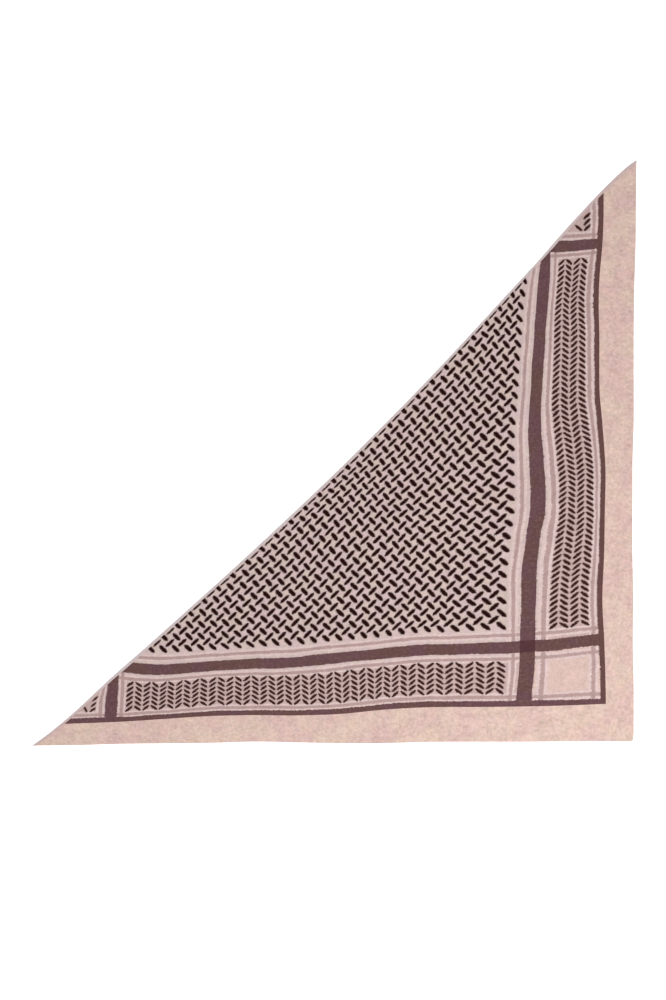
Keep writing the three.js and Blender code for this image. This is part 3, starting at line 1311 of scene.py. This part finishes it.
@dataclass(frozen=True)
class PatternReverse:
    """The jacquard panel's wrong side, where the yarns show in turn as fine specks.

    Attributes:
        brown_share: how strongly the dark yarn shows where its turn comes.
    """

    knit: Knit = Knit()
    pink: Yarn = Yarn(206, 178, 174)
    brown: Yarn = Yarn(120, 92, 90)
    melange: Melange = Melange(0.12, 0.12, 0.15, 0.04)
    brown_share: float = 0.55

    def material(self) -> bpy.types.Material:
        """Make the wrong side's material.

        Returns:
            The material.
        """
        dyer = Dyer("pattern_knit_reverse")
        across, up = self.knit.places(dyer)
        middle_across, middle_up, stitch = self.knit.stitches(dyer, across, up)
        gauge = self.knit.gauge
        count = dyer.whole(middle_across / gauge.wale_mm) + dyer.whole(middle_up / gauge.course_mm)
        speck = dyer.maths("PINGPONG", count, 1.0) * self.brown_share
        yarns = dyer.blend(speck, self.pink, self.brown)
        colour = self.melange.shade(dyer, yarns, middle_across, middle_up)
        return self.knit.finish(dyer, colour, stitch)


def deselect_all() -> None:
    """Leave object mode with nothing selected."""
    if bpy.context.mode != "OBJECT":
        bpy.ops.object.mode_set(mode="OBJECT")
    bpy.ops.object.select_all(action="DESELECT")


def add_net(
    name: str, width: float, length: float, pitch: float, corner: float = 0.0
) -> bpy.types.Object:
    """Add a flat net of small squares.

    Args:
        name: the object's name.
        width: its size along X.
        length: its size along Y.
        pitch: about the size of its squares.
        corner: both coordinates of its lowest corner.

    Returns:
        The new object, which is the active one.
    """
    deselect_all()
    bpy.ops.mesh.primitive_grid_add(
        size=1, x_subdivisions=round(width / pitch), y_subdivisions=round(length / pitch)
    )
    net = bpy.context.object
    net.name = name
    net.data.name = name
    bpy.ops.object.mode_set(mode="EDIT")
    bpy.ops.mesh.select_all(action="SELECT")
    bpy.ops.transform.translate(value=(0.5, 0.5, 0))
    bpy.ops.transform.resize(value=(width, length, 1), center_override=(0, 0, 0))
    bpy.ops.transform.translate(value=(corner, corner, 0))
    bpy.ops.object.mode_set(mode="OBJECT")
    return net


def trim_net(point: tuple[float, float], outward: tuple[float, float]) -> None:
    """Cut the active net along a straight line and drop what lies beyond it.

    Args:
        point: a point of the line.
        outward: the direction, square to the line, in which the net is dropped.
    """
    bpy.ops.object.mode_set(mode="EDIT")
    bpy.ops.mesh.select_all(action="SELECT")
    bpy.ops.mesh.bisect(
        plane_co=(*point, 0), plane_no=(*outward, 0), clear_outer=True, threshold=0.00001
    )
    bpy.ops.object.mode_set(mode="OBJECT")


def turn_over() -> None:
    """Turn every face of the active mesh the other way."""
    bpy.ops.object.mode_set(mode="EDIT")
    bpy.ops.mesh.select_all(action="SELECT")
    bpy.ops.mesh.flip_normals()
    bpy.ops.object.mode_set(mode="OBJECT")


def solidify(piece: bpy.types.Object, thickness: float) -> None:
    """Give the active sheet its wall, downwards, with the second material underneath.

    Args:
        piece: the sheet, which looks up.
        thickness: the wall's thickness.
    """
    wall = piece.modifiers.new("wall", "SOLIDIFY")
    wall.thickness = thickness
    wall.offset = -1
    wall.material_offset = 1
    bpy.ops.object.modifier_apply(modifier=wall.name)


def soften_rim(piece: bpy.types.Object, on_rim: Callable[[Vector], bool], width: float) -> None:
    """Round the edges of a wall where it is an outer edge of the scarf.

    An edge that goes through the wall joins two vertices of one knitted place, so it stays.

    Args:
        piece: the active wall, whose knit attribute gives each vertex's place.
        on_rim: says whether a place of the knitting is on an outer edge.
        width: how far in the rounding starts.
    """
    mesh = piece.data
    places = mesh.attributes["knit"].data
    deselect_all()
    for polygon in mesh.polygons:
        polygon.select = False
    for vertex in mesh.vertices:
        vertex.select = False
    for edge in mesh.edges:
        first, second = (places[v].vector for v in edge.vertices)
        level = (first - second).length > SAME_PLACE_MM
        edge.select = level and on_rim(first) and on_rim(second)
    bpy.context.view_layer.objects.active = piece
    piece.select_set(True)
    bpy.ops.object.mode_set(mode="EDIT")
    bpy.ops.mesh.select_mode(type="EDGE")
    bpy.ops.mesh.bevel(offset=width, segments=3, affect="EDGES")
    bpy.ops.object.mode_set(mode="OBJECT")


def give_materials(piece: bpy.types.Object, *materials: bpy.types.Material) -> None:
    """Put materials in a piece's slots, in order."""
    for material in materials:
        piece.data.materials.append(material)


@dataclass
class ClothPiece:
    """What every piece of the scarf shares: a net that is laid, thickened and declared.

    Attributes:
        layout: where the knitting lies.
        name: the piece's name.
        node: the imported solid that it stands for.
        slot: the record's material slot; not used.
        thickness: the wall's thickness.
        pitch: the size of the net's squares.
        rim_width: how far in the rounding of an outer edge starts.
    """

    layout: ScarfLayout
    name: str
    node: str
    slot: str
    thickness: float = CLOTH_THICKNESS
    pitch: float = 0.005
    rim_width: float = 0.0008

    def lay(
        self, net: bpy.types.Object, place: Callable[[Vector], Vector], crown: float = 0.0
    ) -> None:
        """Lay the net on the surface, and keep each vertex's knitted place with it.

        The side edge is on the right, so the layout mirrors the net, and its faces are turned
        over to look up again. A net that swaps across and up is turned over once more.

        Args:
            net: the net, with its knitted places as its coordinates.
            place: gives the (across, up) of a vertex of the net.
            crown: how much higher the middle of the net's width stands than its sides.
        """
        mesh = net.data
        knit = mesh.attributes.new("knit", "FLOAT_VECTOR", "POINT")
        width = max(vertex.co.x for vertex in mesh.vertices)
        for vertex in mesh.vertices:
            flat = vertex.co.copy()
            across, up = place(flat).xy
            knit.data[vertex.index].vector = self.knit_place(flat)
            spot = self.layout.on_table(across, up)
            bulge = crown * 4 * (flat.x / width) * (1 - flat.x / width)
            height = self.layout.lift(spot.x, spot.y) + self.thickness + bulge
            vertex.co = (spot.x, spot.y, height)
        turn_over()

    def knit_place(self, flat: Vector) -> Vector:
        """Give the place that the stitches and the pattern are counted from, in millimetres."""
        return flat * 1000

    def declare(self, piece: bpy.types.Object) -> bpy.types.Object:
        """Fasten the finished piece to the frame.

        Args:
            piece: the finished piece.

        Returns:
            The same piece.
        """
        bpy.ops.object.shade_smooth_by_angle(angle=math.radians(50))
        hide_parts(self.node)
        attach(piece, "root")
        log.info("%s: %d faces", piece.name, len(piece.data.polygons))
        return piece


@dataclass
class PatternPanel(ClothPiece):
    """The jacquard triangle."""

    def build(
        self, right_side: bpy.types.Material, wrong_side: bpy.types.Material
    ) -> bpy.types.Object:
        """Build the panel.

        Args:
            right_side: the pattern's material.
            wrong_side: the underside's material.

        Returns:
            The panel.
        """
        corner = BAND_WIDTH + SEAM_GAP / 2
        reach = LEG - TRIM_DEPTH - SEAM_GAP * math.sqrt(0.5)
        side = reach - 2 * corner
        panel = add_net(self.name, side, side, self.pitch, corner)
        trim_net((reach / 2, reach / 2), (1, 1))
        self.lay(panel, lambda flat: flat)
        give_materials(panel, right_side, wrong_side)
        solidify(panel, self.thickness)
        return self.declare(panel)


@dataclass
class PlainBand(ClothPiece):
    """A plain band along one short edge.

    Attributes:
        along_bottom: True for the bottom band, and False for the side band.
    """

    along_bottom: bool = False

    def build(self, cloth: bpy.types.Material) -> bpy.types.Object:
        """Build the band.

        Args:
            cloth: the band's material.

        Returns:
            The band.
        """
        slant = SEAM_GAP * math.sqrt(0.5)
        width = BAND_WIDTH - SEAM_GAP / 2
        length = LEG - TRIM_DEPTH
        band = add_net(self.name, width, length, self.pitch)
        trim_net((0, slant), (1, -1))
        trim_net((0, length - slant), (1, 1))
        self.lay(band, lambda flat: flat.yxz if self.along_bottom else flat)
        if self.along_bottom:
            turn_over()
        give_materials(band, cloth, cloth)
        solidify(band, self.thickness)
        edge = 1 if self.along_bottom else 0
        soften_rim(band, lambda place: abs(place[edge]) < ON_EDGE_MM, self.rim_width)
        return self.declare(band)

    def knit_place(self, flat: Vector) -> Vector:
        """Give the place that the stitches are counted from, in millimetres."""
        return (flat.yxz if self.along_bottom else flat) * 1000


@dataclass
class LongEdgeTrim(ClothPiece):
    """The narrow trim from tip to tip.

    Attributes:
        crown: how much higher its middle stands than its sides.
    """

    thickness: float = TRIM_THICKNESS
    pitch: float = 0.0025
    rim_width: float = 0.0012
    crown: float = 0.0004

    def build(self, cloth: bpy.types.Material) -> bpy.types.Object:
        """Build the trim.

        Args:
            cloth: the trim's material.

        Returns:
            The trim.
        """
        inner = LEG - TRIM_DEPTH + SEAM_GAP * math.sqrt(0.5)
        width = LEG - inner
        length = LEG * math.sqrt(2)
        trim = add_net(self.name, width, length, self.pitch)

        def place(flat: Vector) -> Vector:
            """Give the (across, up) of a vertex of the trim's net.

            Args:
                flat: the vertex's place in from the seam and along the trim.

            Returns:
                The place in the knitting.
            """
            line = inner + flat.x
            share = flat.y / length
            return Vector((line * (1 - share), line * share, 0))

        self.lay(trim, place, self.crown)
        give_materials(trim, cloth, cloth)
        solidify(trim, self.thickness)
        outer = width * 1000
        soften_rim(trim, lambda spot: spot.x > outer - ON_EDGE_MM, self.rim_width)
        return self.declare(trim)


@dataclass
class Studio:
    """The plain pale floor, the soft light and the camera over the cloth.

    Attributes:
        floor_size: the floor's width and length.
        floor_drop: how far it is below the cloth.
        lens_mm: the camera's lens.
        sensor_mm: the sensor's long side, which spans the photograph's height.
        sky: the strength of the white sky.
        lamp: the lamp's power, in watts.
        lamp_width: the lamp's width.
        lamp_place: where it hangs.
        lamp_aim: the place on the cloth that it points at.
    """

    floor_size: float = 14.0
    floor_drop: float = 0.0003
    lens_mm: float = 85.0
    sensor_mm: float = 36.0
    sky: float = 0.98
    lamp: float = 39.0
    lamp_width: float = 2.0
    lamp_place: tuple[float, float, float] = (1.0, -1.35, 2.1)
    lamp_aim: tuple[float, float, float] = (0.5, -0.5, 0.0)

    def floor(self) -> None:
        """Lay the floor."""
        deselect_all()
        bpy.ops.mesh.primitive_plane_add(
            size=self.floor_size, location=(0, 0, -self.floor_drop)
        )
        floor = bpy.context.object
        floor.name = "floor"
        dyer = Dyer("floor")
        place = dyer.node("TexCoord").outputs["Object"]
        mottle = dyer.noise(place, 0.4)
        colour = dyer.blend(mottle, (0.93, 0.93, 0.93, 1), (0.95, 0.95, 0.95, 1))
        shader = dyer.node(
            "BsdfPrincipled",
            {},
            Base_Color=colour,
            Roughness=0.9,
            Emission_Color=(1, 1, 1, 1),
            Emission_Strength=0.25,
        )
        dyer.node("OutputMaterial", {}, Surface=shader.outputs["BSDF"])
        give_materials(floor, dyer.material)

    def lights(self) -> None:
        """Hang one large soft lamp towards the viewer, under an even white sky."""
        world = bpy.data.worlds.new("studio")
        world.use_nodes = True
        sky = world.node_tree.nodes["Background"]
        sky.inputs["Color"].default_value = (1, 1, 1, 1)
        sky.inputs["Strength"].default_value = self.sky
        bpy.context.scene.world = world
        lamp = bpy.data.lights.new("soft_lamp", "AREA")
        lamp.shape = "DISK"
        lamp.size = self.lamp_width
        lamp.energy = self.lamp
        holder = bpy.data.objects.new("soft_lamp", lamp)
        holder.location = self.lamp_place
        aim = Vector(self.lamp_aim) - holder.location
        holder.rotation_euler = aim.to_track_quat("-Z", "Y").to_euler()
        bpy.context.scene.collection.objects.link(holder)

    def camera(self) -> None:
        """Put the camera straight above the cloth, as the photograph was taken."""
        lens = bpy.data.cameras.new("camera")
        lens.lens = self.lens_mm
        lens.sensor_width = self.sensor_mm
        lens.clip_end = 50
        camera = bpy.data.objects.new("camera", lens)
        span = METRES_PER_PIXEL * PHOTO_HEIGHT_PIXELS
        height = span * self.lens_mm / self.sensor_mm
        camera.location = PHOTO_CENTRE + Vector((0, 0, height))
        bpy.context.scene.collection.objects.link(camera)
        bpy.context.scene.camera = camera

    def set_up(self) -> None:
        """Make the whole studio."""
        self.camera()
        self.floor()
        self.lights()
        bpy.context.scene.view_settings.view_transform = "Standard"


def main() -> None:
    """Build the studio and the scarf, piece by piece."""
    logging.basicConfig(level=logging.INFO, format="%(name)s: %(message)s")
    Studio().set_up()
    band_cloth = BandCloth().material()
    layout = ScarfLayout()

    panel = PatternPanel(layout, "pattern_knitting", "pattern_panel", "pattern_knit").build(
        PatternCloth().material(), PatternReverse().material()
    )
    side = PlainBand(layout, "side_knitting", "side_band", "band_knit").build(band_cloth)
    bottom = PlainBand(
        layout, "bottom_knitting", "bottom_band", "band_knit", along_bottom=True
    ).build(band_cloth)
    trim = LongEdgeTrim(layout, "trim_knitting", "long_edge_trim", "trim_knit").build(
        TrimCloth().material()
    )


if __name__ == "__main__":
    main()
